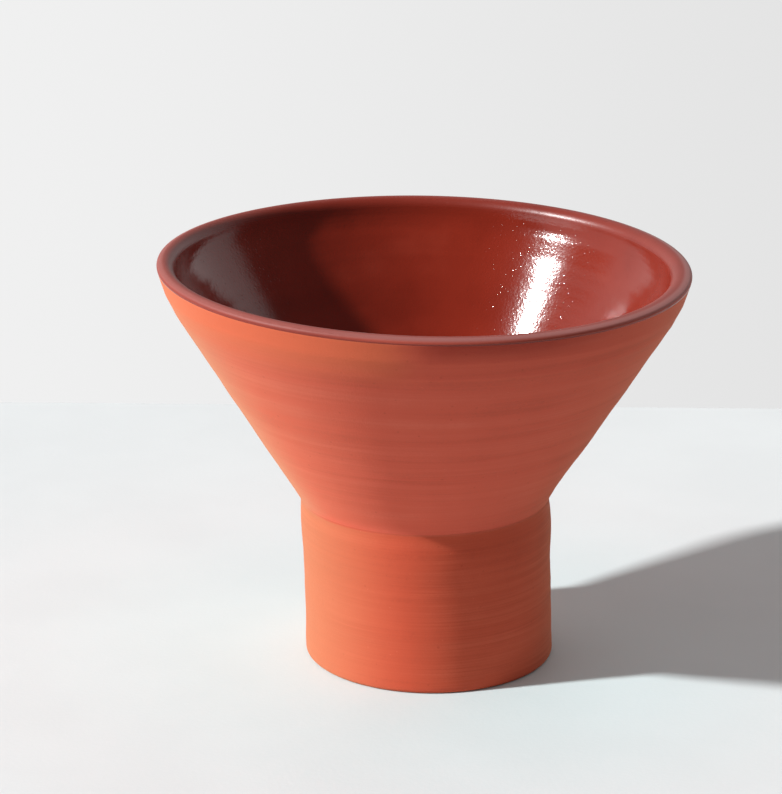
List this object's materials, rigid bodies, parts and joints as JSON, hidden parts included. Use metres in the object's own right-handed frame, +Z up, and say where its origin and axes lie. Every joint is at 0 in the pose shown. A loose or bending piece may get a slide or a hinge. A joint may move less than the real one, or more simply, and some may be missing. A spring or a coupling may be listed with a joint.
{
  "type": "stemless cup",
  "caption": "Terracotta stemless cup: flared conical bowl on a short straight foot, bare clay outside, clear-glazed inside and over the rounded lip.",
  "frame": {"origin": "middle of the foot ring's underside, where the cup stands", "axes": "+Z up along the cup's axis, from the foot to the lip; the cup is round, so X and Y are any two level directions"},
  "size_m": [0.1172, 0.1172, 0.091],
  "materials": {
    "bowl_clay": "matt bare terracotta, fine turned rings and specks",
    "foot_clay": "matt bare terracotta, smoothed, trimmed underneath",
    "slip": "matt fired slip, wiped flush",
    "glaze": "glossy clear glaze over red clay, finely pitted"
  },
  "bodies": {
    "root": {"bowl": "bowl_clay", "foot": "foot_clay", "luting_slip": "slip", "glaze_lining": "glaze"}
  },
  "joints": []
}
